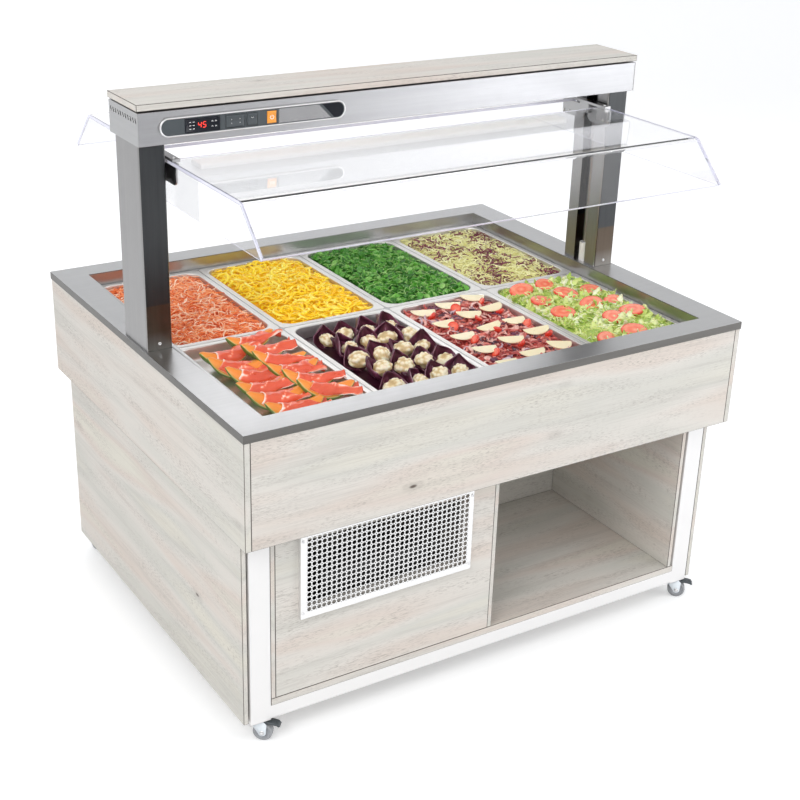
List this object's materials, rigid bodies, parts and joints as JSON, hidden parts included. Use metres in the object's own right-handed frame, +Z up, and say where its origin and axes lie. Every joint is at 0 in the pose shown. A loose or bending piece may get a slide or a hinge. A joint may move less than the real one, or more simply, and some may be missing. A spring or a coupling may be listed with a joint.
{
  "type": "mobile refrigerated salad bar",
  "caption": "Self-service salad bar on castors: sunken refrigerated pan well, lifting clear canopy under a beam with top shelf, laminate cabinet with plate compartment.",
  "frame": {"origin": "on the floor under the middle of the worktop", "axes": "+X to the right along the front, +Y to the back, +Z up"},
  "size_m": [1.49, 1.22, 1.496],
  "materials": {
    "stainless": "brushed",
    "pan_steel": "satin",
    "wood_laminate": "pale whitewashed pine laminate",
    "clear_acrylic": "clear polished acrylic",
    "foam": "foam",
    "grey_coating": "light grey powder coat",
    "galvanised": "zinc",
    "black_coating": "black paint",
    "aluminium_fins": "bare",
    "dark_plastic": "satin",
    "satin_bezel": "satin",
    "amber_plastic": "translucent",
    "lamp_white": "opal",
    "grey_tyre": "soft grey",
    "zinc": "bright zinc"
  },
  "bodies": {
    "root": {"worktop": "stainless", "well_liner": "stainless", "insulation": "foam", "tank_shell": "galvanised", "pan_bars": "stainless", "aprons_front_rear": "wood_laminate", "aprons_left_right": "wood_laminate", "base_frame": "grey_coating", "floor_board": "wood_laminate", "side_panels": "wood_laminate", "inner_panels": "wood_laminate", "divider": "wood_laminate", "partition": "wood_laminate", "vent_panel": "wood_laminate", "rear_panel": "wood_laminate", "vent_grille": "stainless", "fixing_screws": "stainless", "condenser": "black_coating", "fan_shroud": "black_coating", "compressor": "black_coating", "evaporator": "aluminium_fins", "posts": "stainless", "lift_actuators": "grey_coating", "beam": "stainless", "beam_ends": "stainless", "shelf_spacers": "stainless", "top_shelf": "wood_laminate", "lamp": "lamp_white", "panel_bezel": "satin_bezel", "panel_plate": "dark_plastic", "display": "dark_plastic"},
    "canopy": {"guard_front": "clear_acrylic", "guard_rear": "clear_acrylic", "end_cheeks": "clear_acrylic", "canopy_brackets": "stainless", "lift_rods": "stainless", "canopy_screws": "stainless"},
    "fan": {"fan_blades": "aluminium_fins"},
    "lift_rocker": {"lift_rocker": "dark_plastic"},
    "lamp_rocker": {"lamp_rocker": "dark_plastic"},
    "power_rocker": {"power_rocker": "amber_plastic"},
    "pan_front_1": {"pan_front_1": "pan_steel"},
    "pan_front_2": {"pan_front_2": "pan_steel"},
    "pan_front_3": {"pan_front_3": "pan_steel"},
    "pan_front_4": {"pan_front_4": "pan_steel"},
    "pan_rear_1": {"pan_rear_1": "pan_steel"},
    "pan_rear_2": {"pan_rear_2": "pan_steel"},
    "pan_rear_3": {"pan_rear_3": "pan_steel"},
    "pan_rear_4": {"pan_rear_4": "pan_steel"},
    "fork_front_left": {"castor_fork_front_left": "zinc"},
    "wheel_front_left": {"castor_wheel_front_left": "grey_tyre"},
    "pedal_front_left": {"brake_pedal_front_left": "dark_plastic"},
    "fork_front_right": {"castor_fork_front_right": "zinc"},
    "wheel_front_right": {"castor_wheel_front_right": "grey_tyre"},
    "pedal_front_right": {"brake_pedal_front_right": "dark_plastic"},
    "fork_rear_left": {"castor_fork_rear_left": "zinc"},
    "wheel_rear_left": {"castor_wheel_rear_left": "grey_tyre"},
    "fork_rear_right": {"castor_fork_rear_right": "zinc"},
    "wheel_rear_right": {"castor_wheel_rear_right": "grey_tyre"}
  },
  "joints": [
    {"name": "canopy_lift", "type": "slide", "parent": "root", "child": "canopy", "axis": [0, 0, 1], "range_m": [-0.365, 0]},
    {"name": "fan_spin", "type": "hinge", "parent": "root", "child": "fan", "pos_m": [-0.33, -0.42, 0.261], "axis": [0, 1, 0], "continuous": true},
    {"name": "lift_rocker_tilt", "type": "hinge", "parent": "root", "child": "lift_rocker", "pos_m": [-0.4975, -0.092, 1.437], "axis": [1, 0, 0], "range_deg": [-5, 5], "stiffness_Nm_per_rad": 0.05},
    {"name": "lamp_rocker_tilt", "type": "hinge", "parent": "root", "child": "lamp_rocker", "pos_m": [-0.4535, -0.092, 1.437], "axis": [1, 0, 0], "range_deg": [-5, 5]},
    {"name": "power_rocker_tilt", "type": "hinge", "parent": "root", "child": "power_rocker", "pos_m": [-0.401, -0.092, 1.437], "axis": [1, 0, 0], "range_deg": [-5, 5]},
    {"name": "pan_front_1_lift_out", "type": "slide", "parent": "root", "child": "pan_front_1", "axis": [0, 0, 1], "range_m": [0, 0.16]},
    {"name": "pan_front_2_lift_out", "type": "slide", "parent": "root", "child": "pan_front_2", "axis": [0, 0, 1], "range_m": [0, 0.16]},
    {"name": "pan_front_3_lift_out", "type": "slide", "parent": "root", "child": "pan_front_3", "axis": [0, 0, 1], "range_m": [0, 0.16]},
    {"name": "pan_front_4_lift_out", "type": "slide", "parent": "root", "child": "pan_front_4", "axis": [0, 0, 1], "range_m": [0, 0.16]},
    {"name": "pan_rear_1_lift_out", "type": "slide", "parent": "root", "child": "pan_rear_1", "axis": [0, 0, 1], "range_m": [0, 0.16]},
    {"name": "pan_rear_2_lift_out", "type": "slide", "parent": "root", "child": "pan_rear_2", "axis": [0, 0, 1], "range_m": [0, 0.16]},
    {"name": "pan_rear_3_lift_out", "type": "slide", "parent": "root", "child": "pan_rear_3", "axis": [0, 0, 1], "range_m": [0, 0.16]},
    {"name": "pan_rear_4_lift_out", "type": "slide", "parent": "root", "child": "pan_rear_4", "axis": [0, 0, 1], "range_m": [0, 0.16]},
    {"name": "swivel_front_left", "type": "hinge", "parent": "root", "child": "fork_front_left", "pos_m": [-0.68, -0.527, 0.066], "axis": [0, 0, 1], "continuous": true},
    {"name": "wheel_spin_front_left", "type": "hinge", "parent": "fork_front_left", "child": "wheel_front_left", "pos_m": [-0.66641, -0.53881, 0.025], "axis": [0.6561, 0.7547, 0], "continuous": true},
    {"name": "brake_front_left", "type": "hinge", "parent": "fork_front_left", "child": "pedal_front_left", "pos_m": [-0.66038, -0.54406, 0.0537], "axis": [0.6561, 0.7547, 0], "range_deg": [-4, 6]},
    {"name": "swivel_front_right", "type": "hinge", "parent": "root", "child": "fork_front_right", "pos_m": [0.68, -0.527, 0.066], "axis": [0, 0, 1], "continuous": true},
    {"name": "wheel_spin_front_right", "type": "hinge", "parent": "fork_front_right", "child": "wheel_front_right", "pos_m": [0.69359, -0.53881, 0.025], "axis": [0.6561, 0.7547, 0], "continuous": true},
    {"name": "brake_front_right", "type": "hinge", "parent": "fork_front_right", "child": "pedal_front_right", "pos_m": [0.69962, -0.54406, 0.0537], "axis": [0.6561, 0.7547, 0], "range_deg": [-4, 6]},
    {"name": "swivel_rear_left", "type": "hinge", "parent": "root", "child": "fork_rear_left", "pos_m": [-0.68, 0.527, 0.066], "axis": [0, 0, 1], "continuous": true},
    {"name": "wheel_spin_rear_left", "type": "hinge", "parent": "fork_rear_left", "child": "wheel_rear_left", "pos_m": [-0.68063, 0.54499, 0.025], "axis": [-0.9994, -0.0349, 0], "continuous": true},
    {"name": "swivel_rear_right", "type": "hinge", "parent": "root", "child": "fork_rear_right", "pos_m": [0.68, 0.527, 0.066], "axis": [0, 0, 1], "continuous": true},
    {"name": "wheel_spin_rear_right", "type": "hinge", "parent": "fork_rear_right", "child": "wheel_rear_right", "pos_m": [0.68374, 0.54461, 0.025], "axis": [-0.9781, 0.2079, 0], "continuous": true}
  ]
}
